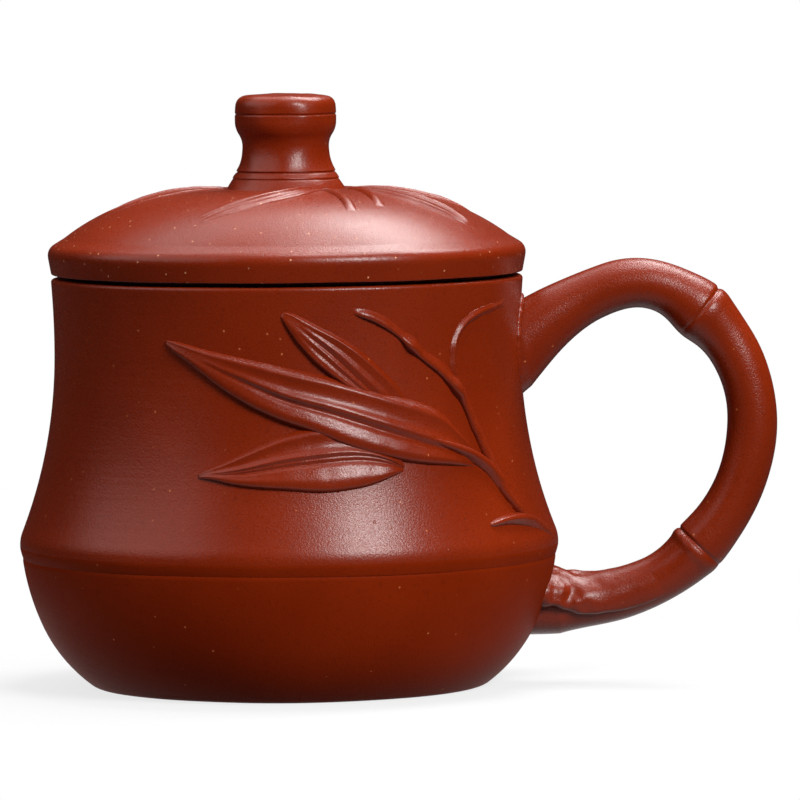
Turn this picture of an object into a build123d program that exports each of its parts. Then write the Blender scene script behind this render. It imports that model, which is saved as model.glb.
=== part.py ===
from build123d import *

import os
from math import copysign, exp, hypot, radians, cos, sin, sqrt

# Lidded clay tea cup: a waisted wall luted to a round bowl, a bent bamboo-cane handle, applied bamboo
# sprigs, and a loose domed lid with a knob. Millimetres. The cup stands on z = 0 about the Z axis,
# the handle points along +X, and the sprig faces -Y.

# Cup wall and bowl
waist_radius = 39.6
rim_flare = 0.5
ridge_flare = 6.4
bowl_height = 22.0
ridge_band = 3.3
skirt_height = 31.7
neck_height = 13.0
wall_thickness = 3.2
rim_round = 0.4
ridge_round = 1.1
band_round = 0.7
crease_step = 0.7
bowl_shoulder_drop = 11.2
bowl_shoulder_inset = 3.6
bowl_shoulder_arc = 40.0
base_inset = 12.2
base_round = 1.0
lap_height = 3.0
lute_gap = 0.1

# Floor slab, dropped on a ledge inside the foot ring
foot_width = 6.0
foot_depth = 1.5
ledge_width = 2.0
floor_thickness = 3.5

# Lid: cap, locating flange and knob
lid_overhang = 0.6
lid_taper = 0.5
lid_shadow_gap = 0.65
lid_seat_width = 2.4
lid_edge = 4.4
lid_edge_round = 1.2
bevel_width = 2.4
bevel_rise = 1.3
lid_rise = 15.2
crown_radius = 13.7
lid_thickness = 3.4
lid_clearance = 0.5
flange_thickness = 2.5
flange_depth = 6.0
flange_round = 0.6
knob_radius = 8.6
knob_waist_radius = 7.45
knob_foot_radius = 10.6
knob_height = 15.6
knob_dome = 0.5
knob_round = 2.0
knob_cap_thickness = 3.3
knob_foot_height = 2.7
knob_ring_depth = 0.45
knob_ring_width = 0.5
tenon_radius = 4.5
tenon_depth = 1.8
tenon_clearance = 0.1

# Handle: a bent cane with two joints
cane_thickness = 8.5
cane_width = 8.9
cane_reach = 39.7
root_flare = 1.5
foot_flare = 1.9
flare_length = 9.0
root_sink = 6.4
foot_sink = 3.5
joint_swell = 0.55
joint_length = 2.2
joint_groove_depth = 0.55
joint_groove_width = 0.8
upper_cane_length = 41.8
side_cane_length = 44.4
sheath_thickness = 1.0
sheath_length = 25.0

# Sprigs: leaf half widths, reliefs and twig radii
leaf_sink = 0.6
leaf_groove = 0.45
long_leaf_breadth = 5.3
long_leaf_relief = 1.3
low_leaf_breadth = 4.9
low_leaf_relief = 1.2
upper_leaf_breadth = 3.5
upper_leaf_relief = 1.1
bud_leaf_breadth = 1.5
bud_leaf_relief = 0.9
twig_radius = 0.95
thin_twig_radius = 0.65
twig_joint_swell = 0.4
lid_leaf_breadth = 3.4
lid_leaf_relief = 0.75
lid_twig_radius = 0.6

# Values worked out from those above
rim_radius = waist_radius + rim_flare
ridge_radius = waist_radius + ridge_flare
ridge_height = bowl_height + ridge_band
waist_height = ridge_height + skirt_height
rim_height = waist_height + neck_height
mouth_radius = waist_radius - wall_thickness
ridge_inner = ridge_radius - wall_thickness
lap_radius = ridge_inner + (wall_thickness - lute_gap) / 2
lap_top = bowl_height + lap_height
base_radius = ridge_radius - base_inset
floor_top = foot_depth + floor_thickness
foot_inner = base_radius - foot_width
floor_radius = foot_inner + ledge_width
lid_radius = rim_radius + lid_overhang
seat_radius = mouth_radius + lid_seat_width
dome_radius = lid_radius - bevel_width
edge_height = rim_height + lid_shadow_gap + lid_edge
dome_foot = edge_height + bevel_rise
crown_height = rim_height + lid_rise
dome_arc = ((dome_radius - crown_radius) ** 2 + (crown_height - dome_foot) ** 2) / (2 * (crown_height - dome_foot))
flange_outer = mouth_radius - lid_clearance
flange_inner = flange_outer - flange_thickness
hollow_height = crown_height - dome_arc + sqrt((dome_arc - lid_thickness) ** 2 - (flange_inner - crown_radius) ** 2)
knob_top = crown_height + knob_height
tenon_foot = crown_height - tenon_depth


def wall_radius(height):
    """Outer radius of the waisted wall at a height: two arcs that stand upright where they meet."""
    if height > waist_height:
        run, rise = rim_flare, neck_height
    else:
        run, rise = ridge_flare, skirt_height
    arc = (run**2 + rise**2) / (2 * run)
    return waist_radius + arc - copysign(sqrt(arc**2 - (height - waist_height) ** 2), arc)


def wall_spot(turn, share):
    """Point on the wall: degrees round from the front, share of the way up from ridge to rim."""
    height = ridge_height + share * (rim_height - ridge_height)
    radius = wall_radius(height)
    return Vector(radius * sin(radians(turn)), -radius * cos(radians(turn)), height)


def wall_out(spot):
    """Direction straight out of the wall at a point on it."""
    slope = wall_radius(spot.Z + 0.1) - wall_radius(spot.Z - 0.1)
    return Vector(spot.X, spot.Y, -hypot(spot.X, spot.Y) * slope / 0.2).normalized()


def lid_spot(across, along):
    """Point on the lid's dome: shares of the dome's radius along +X and along -Y."""
    radius = dome_radius * hypot(across, along)
    reach = max(radius - crown_radius, 0)
    height = crown_height - dome_arc + sqrt(dome_arc**2 - reach**2)
    return Vector(dome_radius * across, -dome_radius * along, height)


def lid_out(spot):
    """Direction straight out of the lid's dome at a point on it."""
    radius = max(hypot(spot.X, spot.Y), 0.001)
    lean = max(radius - crown_radius, 0) / dome_arc
    return Vector(spot.X / radius * lean, spot.Y / radius * lean, sqrt(1 - lean**2))


def blade_share(way, shoulder, slim):
    """Breadth of a leaf blade at a share of its length, as a share of its full breadth."""
    fall = (1 - shoulder) / shoulder * slim
    full = shoulder**slim * (1 - shoulder) ** fall
    return max(way**slim * (1 - way) ** fall / full, 0.12)


def leaf(spot, out, base, tip, bow, breadth, relief, under, shoulder=0.36, slim=0.5):
    """Leaf pressed on a round face: two lobes beside a midrib groove, from base to tip, cut by what it meets."""
    ways = [0.0, 0.06, 0.16, 0.3, 0.45, 0.6, 0.75, 0.88, 1.0]

    def rib(way):
        first = base[0] + way * (tip[0] - base[0])
        second = base[1] + way * (tip[1] - base[1]) + 4 * bow * way * (1 - way)
        return spot(first, second)

    with BuildPart() as piece:
        for way in ways:
            ahead = rib(way + 0.01) - rib(way - 0.01)
            side = out(rib(way)).cross(ahead)
            half = breadth * blade_share(way, shoulder, slim)
            rise = relief * (0.45 + 0.55 * blade_share(way, shoulder, slim))
            dip = leaf_groove * blade_share(way, shoulder, slim)
            with BuildSketch(Plane(rib(way), x_dir=side, z_dir=ahead)):
                with BuildLine():
                    Spline(
                        (-half, -leaf_sink),
                        (-0.82 * half, 0.7 * rise),
                        (-0.45 * half, rise),
                        (0, rise - dip),
                        (0.45 * half, rise),
                        (0.82 * half, 0.7 * rise),
                        (half, -leaf_sink),
                    )
                    Line((half, -leaf_sink), (-half, -leaf_sink))
                make_face()
        loft()
        for neighbour in under:
            add(neighbour.part, mode=Mode.SUBTRACT)
    return piece


def twig(spot, out, route, radius, joints, under):
    """Round twig laid on a round face along a route, swollen at its joints, cut by what it meets."""
    with BuildLine() as run:
        Spline(*[spot(*place) for place in route])
    path = run.edges()[0]
    stations = 4 * (len(route) - 1)

    with BuildPart() as piece:
        for index in range(stations + 1):
            way = index / stations
            swell = sum(exp(-(((path @ way) - spot(*route[joint])).length ** 2)) for joint in joints)
            taper = 0.65 + 0.35 * min(1, 8 * way, 8 * (1 - way))
            half = radius * taper * (1 + twig_joint_swell * swell)
            with BuildSketch(Plane(path @ way, x_dir=out(path @ way).cross(path % way), z_dir=path % way)):
                with BuildLine():
                    ThreePointArc((-half, -leaf_sink), (0, half), (half, -leaf_sink))
                    Line((half, -leaf_sink), (-half, -leaf_sink))
                make_face()
        loft()
        for neighbour in under:
            add(neighbour.part, mode=Mode.SUBTRACT)
    return piece


# Cup wall: one turned shell, rabbeted inside its foot for the bowl's lip
with BuildPart() as cup_wall:
    with BuildSketch(Plane.XZ) as wall_section:
        with BuildLine():
            Line((mouth_radius, rim_height), (rim_radius, rim_height))
            TangentArc((waist_radius, waist_height), (rim_radius, rim_height), tangent=(0, 1))
            TangentArc((waist_radius, waist_height), (ridge_radius, ridge_height), tangent=(0, -1))
            Polyline(
                (ridge_radius, ridge_height),
                (ridge_radius, bowl_height),
                (lap_radius + lute_gap, bowl_height),
                (lap_radius + lute_gap, lap_top + lute_gap),
                (ridge_inner, lap_top + lute_gap),
                (ridge_inner, ridge_height + lute_gap),
            )
            TangentArc((mouth_radius, waist_height), (ridge_inner, ridge_height + lute_gap), tangent=(0, -1))
            Line((mouth_radius, waist_height), (mouth_radius, rim_height))
        make_face()
        rim_corners = wall_section.vertices().group_by(Axis.Y)[-1]
        fillet(rim_corners, rim_round)
        ridge_corner = wall_section.vertices().sort_by_distance((ridge_radius, ridge_height))[0]
        fillet(ridge_corner, ridge_round)
        band_corner = wall_section.vertices().sort_by_distance((ridge_radius, bowl_height))[0]
        fillet(band_corner, band_round)
    revolve(axis=Axis.Z)

# Bowl: turned shell with a lip that stands inside the wall and a ledged foot ring
bowl_rim_radius = ridge_radius - crease_step
shoulder_radius = ridge_radius - bowl_shoulder_inset
shoulder_height = bowl_height - bowl_shoulder_drop
with BuildPart() as cup_bowl:
    with BuildSketch(Plane.XZ) as bowl_section:
        with BuildLine():
            upper = RadiusArc((bowl_rim_radius, bowl_height), (shoulder_radius, shoulder_height), bowl_shoulder_arc)
            lower = TangentArc(upper @ 1, (base_radius, 0), tangent=upper % 1)
            Polyline(
                lower @ 1,
                (foot_inner, 0),
                (foot_inner, foot_depth),
                (floor_radius + lute_gap, foot_depth),
                (floor_radius + lute_gap, floor_top),
                (base_radius, floor_top),
            )
            TangentArc((ridge_inner, lap_top), (base_radius, floor_top), tangent=(0, -1))
            Polyline((ridge_inner, lap_top), (lap_radius, lap_top), (lap_radius, bowl_height), upper @ 0)
        make_face()
        base_corner = bowl_section.vertices().sort_by_distance((base_radius, 0))[0]
        fillet(base_corner, base_round)
    revolve(axis=Axis.Z)

# Floor slab resting on the ledge
with BuildPart() as cup_floor:
    with BuildSketch(Plane.XY.offset(foot_depth)):
        Circle(floor_radius)
    extrude(amount=floor_thickness)

# Filled cup, used only to trim what is laid on its outside
with BuildPart() as cup_core:
    with BuildSketch(Plane.XZ):
        with BuildLine():
            upper = RadiusArc((bowl_rim_radius, bowl_height), (shoulder_radius, shoulder_height), bowl_shoulder_arc)
            lower = TangentArc(upper @ 1, (base_radius, 0), tangent=upper % 1)
            Polyline(lower @ 1, (0, 0), (0, rim_height), (rim_radius, rim_height))
            TangentArc((waist_radius, waist_height), (rim_radius, rim_height), tangent=(0, 1))
            TangentArc((waist_radius, waist_height), (ridge_radius, ridge_height), tangent=(0, -1))
            Polyline((ridge_radius, ridge_height), (ridge_radius, bowl_height), upper @ 0)
        make_face()
    revolve(axis=Axis.Z)

# Handle: three canes lofted along the bend, joined by the narrow necks of the two joint grooves
with BuildLine(Plane.XZ) as cane_line:
    Spline(
        (waist_radius - 4.6, waist_height - 3.0),
        (waist_radius + 7.9, waist_height + 7.1),
        (waist_radius + 20.6, rim_height - 1.6),
        (waist_radius + cane_reach - 5.3, waist_height + 3.8),
        (waist_radius + cane_reach, waist_height - 11.0),
        (waist_radius + cane_reach - 3.7, ridge_height + 6.2),
        (ridge_radius + 21.0, bowl_height - 1.7),
        (ridge_radius + 10.0, bowl_height - 6.7),
        (ridge_radius - 6.0, bowl_height - 8.2),
    )
cane_path = cane_line.edges()[0]
first_joint = upper_cane_length
second_joint = upper_cane_length + side_cane_length


def cane_plane(length):
    """Section plane of the cane at a length along its bend, with its y axis in the plane of the loop."""
    way = length / cane_path.length
    return Plane(cane_path @ way, x_dir=(0, 1, 0), z_dir=cane_path % way)


def cane_growth(length):
    """Extra half thickness of the cane: flared at both ends and swollen beside each joint."""
    root = root_flare * exp(-(((length - root_sink) / flare_length) ** 2))
    foot = foot_flare * exp(-(((cane_path.length - foot_sink - length) / flare_length) ** 2))
    swell = sum(exp(-abs(length - joint) / joint_length) for joint in (first_joint, second_joint))
    return root + foot + joint_swell * swell


def cane_ways(start, end):
    """Lengths along one cane at which its sections stand, closer together at its ends."""
    return [start + (end - start) * share for share in (0, 0.04, 0.1, 0.2, 0.3, 0.4, 0.5, 0.6, 0.7, 0.8, 0.9, 0.96, 1)]


half_groove = joint_groove_width / 2
with BuildPart() as handle:
    for start, end in (
        (0, first_joint - half_groove),
        (first_joint + half_groove, second_joint - half_groove),
        (second_joint + half_groove, cane_path.length),
    ):
        for length in cane_ways(start, end):
            with BuildSketch(cane_plane(length)):
                growth = cane_growth(length)
                Ellipse(cane_width / 2 + growth, cane_thickness / 2 + growth)
        loft()
    for joint in (first_joint, second_joint):
        for length in (joint - 2 * half_groove, joint + 2 * half_groove):
            with BuildSketch(cane_plane(length)):
                neck = joint_swell - joint_groove_depth
                Ellipse(cane_width / 2 + neck, cane_thickness / 2 + neck)
        loft()
    add(cup_core.part, mode=Mode.SUBTRACT)

# Sheath: a leaf base saddled over the foot of the handle, thinning away from the bowl
with BuildPart() as handle_sheath:
    for share in (0, 0.2, 0.4, 0.6, 0.8, 1):
        length = cane_path.length - sheath_length * (1 - share)
        with BuildSketch(cane_plane(length)):
            cover = cane_growth(length) + sheath_thickness * (0.3 + 0.7 * share)
            Ellipse(cane_width / 2 + cover, cane_thickness / 2 + cover)
    loft()
    with BuildSketch(Plane.XZ):
        with BuildLine():
            edge = Spline(
                (ridge_radius - 1.6, bowl_height - 1.0),
                (ridge_radius - 0.8, bowl_height - 6.0),
                (ridge_radius + 3.5, bowl_height - 9.4),
                (ridge_radius + 12.0, bowl_height - 8.2),
                (ridge_radius + 22.0, bowl_height - 4.6),
            )
            Polyline(edge @ 1, (ridge_radius + 22, rim_height), (ridge_radius - 1.6, rim_height), edge @ 0)
        make_face()
    extrude(amount=cane_width, both=True, mode=Mode.INTERSECT)
    add(handle.part, mode=Mode.SUBTRACT)
    add(cup_core.part, mode=Mode.SUBTRACT)

# Sprig on the wall. Each place is degrees round from the front and a share of the way up to the rim.
twig_main = twig(
    wall_spot,
    wall_out,
    [(17, 0.905), (23, 0.86), (30, 0.78), (36.5, 0.722), (45.5, 0.61), (49, 0.51), (56.5, 0.365), (66, 0.115)],
    twig_radius,
    (2, 4),
    [cup_core],
)
leaf_long = leaf(
    wall_spot, wall_out, (46, 0.375), (-31.5, 0.8), -0.02, long_leaf_breadth, long_leaf_relief, [cup_core], 0.3
)
leaf_low = leaf(
    wall_spot, wall_out, (32, 0.37), (-21, 0.295), 0.0, low_leaf_breadth, low_leaf_relief, [cup_core, leaf_long], 0.45
)
leaf_upper = leaf(
    wall_spot, wall_out, (29, 0.6), (-3.5, 0.9), 0.01, upper_leaf_breadth, upper_leaf_relief, [cup_core, leaf_long]
)
leaf_bud = leaf(
    wall_spot, wall_out, (70, 0.05), (50, 0.1), 0.015, bud_leaf_breadth, bud_leaf_relief, [cup_core, twig_main], 0.45
)
leaf_stalk = twig(
    wall_spot,
    wall_out,
    [(46.4, 0.373), (51, 0.345), (57, 0.29)],
    thin_twig_radius,
    (),
    [cup_core, twig_main],
)
twig_arch = twig(
    wall_spot,
    wall_out,
    [(72, 0.91), (62, 0.905), (54, 0.88), (48, 0.835), (45, 0.76), (44.5, 0.68), (45.5, 0.61)],
    thin_twig_radius,
    (),
    [cup_core, twig_main, handle],
)

# Lid cap: turned dome with a flat seat inside a shadow gap, and a socket for the knob's tenon
with BuildPart() as lid_cap:
    with BuildSketch(Plane.XZ) as cap_section:
        with BuildLine():
            TangentArc((crown_radius, crown_height), (dome_radius, dome_foot), tangent=(1, 0))
            Polyline(
                (dome_radius, dome_foot),
                (lid_radius, edge_height),
                (lid_radius - lid_taper, rim_height + lid_shadow_gap),
                (seat_radius, rim_height + lid_shadow_gap),
                (seat_radius, rim_height),
                (flange_inner, rim_height),
                (flange_inner, hollow_height),
            )
            TangentArc((crown_radius, crown_height - lid_thickness), (flange_inner, hollow_height), tangent=(1, 0))
            Polyline(
                (crown_radius, crown_height - lid_thickness),
                (0, crown_height - lid_thickness),
                (0, crown_height),
                (crown_radius, crown_height),
            )
        make_face()
        edge_corner = cap_section.vertices().sort_by_distance((lid_radius, edge_height))[0]
        fillet(edge_corner, lid_edge_round)
    revolve(axis=Axis.Z)
    with Locations((0, 0, crown_height)):
        Hole(tenon_radius + tenon_clearance, tenon_depth + tenon_clearance)

# Locating flange, which hangs inside the mouth with room to turn
with BuildPart() as lid_flange:
    with BuildSketch(Plane.XY.offset(rim_height - flange_depth)):
        Circle(flange_outer)
        Circle(flange_inner, mode=Mode.SUBTRACT)
    extrude(amount=flange_depth)
    fillet(lid_flange.faces().sort_by(Axis.Z)[0].edges(), flange_round)

# Knob: a short length of cane with two joint rings and a tenon
low_ring = crown_height + knob_foot_height
high_ring = knob_top - knob_cap_thickness
ring_radius = knob_radius - knob_ring_depth
with BuildPart() as lid_knob:
    with BuildSketch(Plane.XZ) as knob_section:
        with BuildLine():
            Polyline(
                (0, knob_top),
                (0, tenon_foot),
                (tenon_radius, tenon_foot),
                (tenon_radius, crown_height),
                (knob_foot_radius, crown_height),
            )
            TangentArc((knob_radius, low_ring), (knob_foot_radius, crown_height), tangent=(0, -1))
            Polyline(
                (knob_radius, low_ring),
                (ring_radius, low_ring),
                (ring_radius, low_ring + knob_ring_width),
                (knob_radius, low_ring + knob_ring_width),
            )
            ThreePointArc(
                (knob_radius, low_ring + knob_ring_width),
                (knob_waist_radius, (low_ring + high_ring) / 2),
                (knob_radius, high_ring - knob_ring_width),
            )
            Polyline(
                (knob_radius, high_ring - knob_ring_width),
                (ring_radius, high_ring - knob_ring_width),
                (ring_radius, high_ring),
                (knob_radius, high_ring),
                (knob_radius, knob_top - knob_dome),
            )
            TangentArc((0, knob_top), (knob_radius, knob_top - knob_dome), tangent=(1, 0))
        make_face()
        top_corner = knob_section.vertices().sort_by_distance((knob_radius, knob_top - knob_dome))[0]
        fillet(top_corner, knob_round)
    revolve(axis=Axis.Z)

# Filled lid, used only to trim what is laid on it
with BuildPart() as lid_core:
    with BuildSketch(Plane.XZ):
        with BuildLine():
            TangentArc((crown_radius, crown_height), (dome_radius, dome_foot), tangent=(1, 0))
            Polyline(
                (dome_radius, dome_foot), (0, dome_foot - bevel_rise), (0, crown_height), (crown_radius, crown_height)
            )
        make_face()
    revolve(axis=Axis.Z)
    add(lid_knob.part)

# Sprig on the lid. Each place is a share of the dome's radius toward the handle and toward the front.
lid_twig_front = twig(
    lid_spot, lid_out, [(0.2, 0.25), (0.235, 0.5), (0.275, 0.72)], lid_twig_radius, (1,), [lid_core]
)
lid_twig_right = twig(
    lid_spot, lid_out, [(0.31, 0.3), (0.37, 0.44), (0.41, 0.57)], lid_twig_radius, (1,), [lid_core]
)
lid_leaf_front = leaf(
    lid_spot, lid_out, (0.13, 0.25), (-0.44, 0.78), 0.0, lid_leaf_breadth, lid_leaf_relief, [lid_core, lid_twig_front]
)
lid_leaf_right = leaf(
    lid_spot, lid_out, (0.28, 0.2), (0.81, 0.4), 0.0, lid_leaf_breadth, lid_leaf_relief, [lid_core, lid_twig_right]
)
lid_leaf_side = leaf(
    lid_spot, lid_out, (0.29, -0.02), (0.8, -0.06), 0.0, lid_leaf_breadth, lid_leaf_relief, [lid_core, lid_leaf_right]
)
lid_leaf_left = leaf(
    lid_spot, lid_out, (-0.28, -0.05), (-0.85, -0.12), 0.0, lid_leaf_breadth, lid_leaf_relief, [lid_core]
)

finished = {
    "cup_wall": cup_wall,
    "cup_bowl": cup_bowl,
    "cup_floor": cup_floor,
    "handle": handle,
    "handle_sheath": handle_sheath,
    "twig_main": twig_main,
    "twig_arch": twig_arch,
    "leaf_long": leaf_long,
    "leaf_low": leaf_low,
    "leaf_upper": leaf_upper,
    "leaf_bud": leaf_bud,
    "leaf_stalk": leaf_stalk,
    "lid_cap": lid_cap,
    "lid_flange": lid_flange,
    "lid_knob": lid_knob,
    "lid_leaf_front": lid_leaf_front,
    "lid_leaf_right": lid_leaf_right,
    "lid_leaf_side": lid_leaf_side,
    "lid_leaf_left": lid_leaf_left,
    "lid_twig_front": lid_twig_front,
    "lid_twig_right": lid_twig_right,
}

os.makedirs("parts", exist_ok=True)
for name, piece in finished.items():
    piece.part.label = name
    export_step(piece.part, f"parts/{name}.step")
    box = piece.part.bounding_box()
    print(f"{name}: {len(piece.part.solids())} solid, {piece.part.volume:.1f} mm3, {box.min} to {box.max}")
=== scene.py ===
"""Studio scene of a lidded red clay tea cup with a bamboo cane handle and bamboo sprigs.

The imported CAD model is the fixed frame. Sizes in the classes are millimetres in that frame,
and each finished mesh is brought to metres when its piece is made. The studio is in metres.
"""

import logging
import math
from dataclasses import dataclass, field
from enum import Enum
from typing import NamedTuple, Protocol, Sequence

import bmesh
import bpy
import numpy as np
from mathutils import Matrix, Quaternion, Vector, noise


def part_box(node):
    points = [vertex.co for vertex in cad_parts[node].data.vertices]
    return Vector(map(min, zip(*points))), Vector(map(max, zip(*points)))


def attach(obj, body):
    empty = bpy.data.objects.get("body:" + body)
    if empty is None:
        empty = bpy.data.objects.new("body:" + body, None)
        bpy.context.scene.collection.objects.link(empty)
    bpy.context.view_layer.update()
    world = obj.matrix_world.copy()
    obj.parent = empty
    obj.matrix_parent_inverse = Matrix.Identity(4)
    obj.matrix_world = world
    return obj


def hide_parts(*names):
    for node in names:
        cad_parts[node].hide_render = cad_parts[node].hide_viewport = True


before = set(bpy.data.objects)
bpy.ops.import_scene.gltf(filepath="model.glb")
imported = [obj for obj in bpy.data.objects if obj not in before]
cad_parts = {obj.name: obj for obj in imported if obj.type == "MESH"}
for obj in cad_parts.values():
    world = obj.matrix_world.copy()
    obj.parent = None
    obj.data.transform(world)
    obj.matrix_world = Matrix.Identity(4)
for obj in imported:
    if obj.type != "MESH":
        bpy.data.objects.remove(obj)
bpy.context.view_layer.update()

MM = 0.001
TURN_STEPS = 192
WELD = 0.001
NEAR = 0.05

UP, DOWN, OUT, IN = (0, 1), (0, -1), (1, 0), (-1, 0)
FULL = (0, 1)
WHITE = (1, 1, 1, 1)
SEED_WAYS = (1.0, 0.7, 1.3)
DOT_CORE, DOT_CHOICE = 0.4, 0.1

Pair = tuple[float, float]
Colour = tuple[int, int, int]
Mesh = bmesh.types.BMesh
Socket = bpy.types.NodeSocket
Feed = Socket | float | tuple[float, ...]

log = logging.getLogger("tea_cup")


def linear(red: int, green: int, blue: int) -> tuple[float, float, float, float]:
    """Turns a colour as seen on screen into the shader's linear colour.

    Args:
        red, green, blue: the colour's parts from 0 to 255.

    Returns:
        The linear colour with full alpha.
    """
    parts = [part / 255 for part in (red, green, blue)]
    bent = [part / 12.92 if part <= 0.04045 else ((part + 0.055) / 1.055) ** 2.4 for part in parts]
    return (*bent, 1.0)


def node_box(node: str) -> tuple[Vector, Vector]:
    """Lowest and highest corner of a CAD node in millimetres."""
    low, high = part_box(node)
    return low / MM, high / MM


class SmoothRun:
    """A smooth line through a few given values, eased like a bent lath."""

    def __init__(self, knots: Sequence[float], values: Sequence[Sequence[float]]) -> None:
        """Fits the line.

        Args:
            knots: rising places of the values along the line.
            values: one row of numbers for each knot.
        """
        self.knots = np.array(knots, float)
        self.values = np.array(values, float)
        count = len(self.knots)
        gaps = np.diff(self.knots)
        slopes = np.diff(self.values, axis=0) / gaps[:, None]
        system = np.eye(count)
        right = np.zeros_like(self.values)
        for i in range(1, count - 1):
            system[i, i - 1:i + 2] = (gaps[i - 1], 2 * (gaps[i - 1] + gaps[i]), gaps[i])
            right[i] = 6 * (slopes[i] - slopes[i - 1])
        self.bends = np.linalg.solve(system, right)

    def at(self, place: float) -> np.ndarray:
        """Values of the line at a place along it.

        Args:
            place: the place, in the knots' own measure.

        Returns:
            The row of values there.
        """
        i = int(np.clip(np.searchsorted(self.knots, place) - 1, 0, len(self.knots) - 2))
        gap = self.knots[i + 1] - self.knots[i]
        before, after = place - self.knots[i], self.knots[i + 1] - place
        bent = self.bends[i] * after ** 3 + self.bends[i + 1] * before ** 3
        start = (self.values[i] / gap - self.bends[i] * gap / 6) * after
        end = (self.values[i + 1] / gap - self.bends[i + 1] * gap / 6) * before
        return bent / (6 * gap) + start + end

    @property
    def length(self) -> float:
        """How long the line's own measure is."""
        return float(self.knots[-1])


def chords(points: Sequence[Sequence[float]]) -> list[float]:
    """Running lengths of the straight chords between points."""
    steps = np.linalg.norm(np.diff(np.array(points, float), axis=0), axis=1)
    return [0.0, *np.cumsum(steps)]


class TurnedOutline:
    """Half outline of a turned piece, drawn run by run as (radius, height)."""

    def __init__(self, radius: float, height: float) -> None:
        """Sets the pen down.

        Args:
            radius, height: the outline's first point.
        """
        self.pen = Vector((radius, height))
        self.heading = Vector(OUT)
        self.runs: list[list[Vector]] = []
        self.eases: list[float] = []

    def _add(self, run: list[Vector], ease: float) -> "TurnedOutline":
        """Keeps one run.

        Args:
            run: its points.
            ease: how far from its end the corner begins to round.

        Returns:
            The outline, for the next run.
        """
        self.runs.append(run)
        self.eases.append(ease)
        self.heading = (run[-1] - run[-2]).normalized()
        self.pen = run[-1]
        return self

    def line(self, radius: float, height: float, ease: float = 0.0, steps: int = 6) -> "TurnedOutline":
        """Draws a straight run.

        Args:
            radius, height: the run's end.
            ease: how far from its end the corner begins to round.
            steps: how many pieces the run has.

        Returns:
            The outline, for the next run.
        """
        end = Vector((radius, height))
        return self._add([self.pen.lerp(end, i / steps) for i in range(steps + 1)], ease)

    @staticmethod
    def _sweep(start: Vector, heading: Vector, end: Vector, steps: int) -> list[Vector]:
        """Works out an arc.

        Args:
            start, end: its ends.
            heading: direction in which it leaves its start.
            steps: how many pieces it has.

        Returns:
            Its points in order.
        """
        side = Vector((-heading.y, heading.x))
        across = end - start
        reach = across.length_squared / (2 * across.dot(side))
        centre = start + side * reach
        first, last = start - centre, end - centre
        turn = math.atan2(first.x * last.y - first.y * last.x, first.dot(last))
        points = []
        for i in range(steps + 1):
            angle = turn * i / steps
            cos, sin = math.cos(angle), math.sin(angle)
            points.append(centre + Vector((first.x * cos - first.y * sin, first.x * sin + first.y * cos)))
        return points

    def arc(
        self,
        radius: float,
        height: float,
        leaving: Pair | None = None,
        arriving: Pair | None = None,
        ease: float = 0.0,
        steps: int = 28,
    ) -> "TurnedOutline":
        """Draws an arc. With no direction given it goes on smoothly from the last run.

        Args:
            radius, height: the arc's end.
            leaving: direction in which the arc leaves the pen.
            arriving: direction in which the arc reaches its end.
            ease: how far from its end the corner begins to round.
            steps: how many pieces the arc has.

        Returns:
            The outline, for the next run.
        """
        end = Vector((radius, height))
        if arriving is not None:
            back = -Vector(arriving).normalized()
            run = self._sweep(end, back, self.pen, steps)[::-1]
        else:
            way = self.heading if leaving is None else Vector(leaving).normalized()
            run = self._sweep(self.pen, way, end, steps)
        return self._add(run, ease)

    @staticmethod
    def _cut(run: list[Vector], ease: float) -> list[Vector]:
        """Shortens a run.

        Args:
            run: its points.
            ease: the length taken off its start.

        Returns:
            The points that are left.
        """
        left = ease
        for i in range(len(run) - 1):
            step = (run[i + 1] - run[i]).length
            if step > left:
                return [run[i].lerp(run[i + 1], left / step), *run[i + 1:]]
            left -= step
        return run[-2:]

    def points(self, closed: bool, corner_steps: int = 7) -> list[Vector]:
        """All points of the outline, with its eased corners.

        Args:
            closed: whether the last run comes back to the first.
            corner_steps: pieces of each eased corner.

        Returns:
            The points in order, none twice.
        """
        runs = [list(run) for run in self.runs]
        corners = [run[-1] for run in self.runs]
        count = len(runs)
        for i, ease in enumerate(self.eases):
            following = (i + 1) % count
            if ease > 0 and (closed or following):
                runs[i] = self._cut(runs[i][::-1], ease)[::-1]
                runs[following] = self._cut(runs[following], ease)
        path: list[Vector] = []
        for i, run in enumerate(runs):
            path += run if not path or (run[0] - path[-1]).length > WELD else run[1:]
            following = (i + 1) % count
            if self.eases[i] > 0 and (closed or following):
                start, corner, end = run[-1], corners[i], runs[following][0]
                for k in range(1, corner_steps):
                    share = k / corner_steps
                    path.append(start.lerp(corner, share).lerp(corner.lerp(end, share), share))
        if closed and (path[0] - path[-1]).length < WELD:
            path.pop()
        return path


def turned(outline: TurnedOutline, closed: bool) -> Mesh:
    """Spins an outline round the cup's axis.

    Args:
        outline: the half outline.
        closed: whether the outline is a ring of its own, clear of the axis.

    Returns:
        The closed turned mesh, in millimetres.
    """
    bm = bmesh.new()
    verts = [bm.verts.new((point.x, 0, point.y)) for point in outline.points(closed)]
    edges = [bm.edges.new(pair) for pair in zip(verts, verts[1:])]
    if closed:
        edges.append(bm.edges.new((verts[-1], verts[0])))
    bmesh.ops.spin(
        bm,
        geom=verts + edges,
        cent=(0, 0, 0),
        axis=(0, 0, 1),
        angle=2 * math.pi,
        steps=TURN_STEPS,
        use_merge=True,
    )
    bmesh.ops.remove_doubles(bm, verts=bm.verts, dist=WELD)
    bmesh.ops.recalc_face_normals(bm, faces=bm.faces)
    return bm


class HandWork(NamedTuple):
    """Unevenness left by hand work: a swell's depth and spread, and its place in the pattern."""

    depth: float
    spread: float
    seed: float


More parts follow.
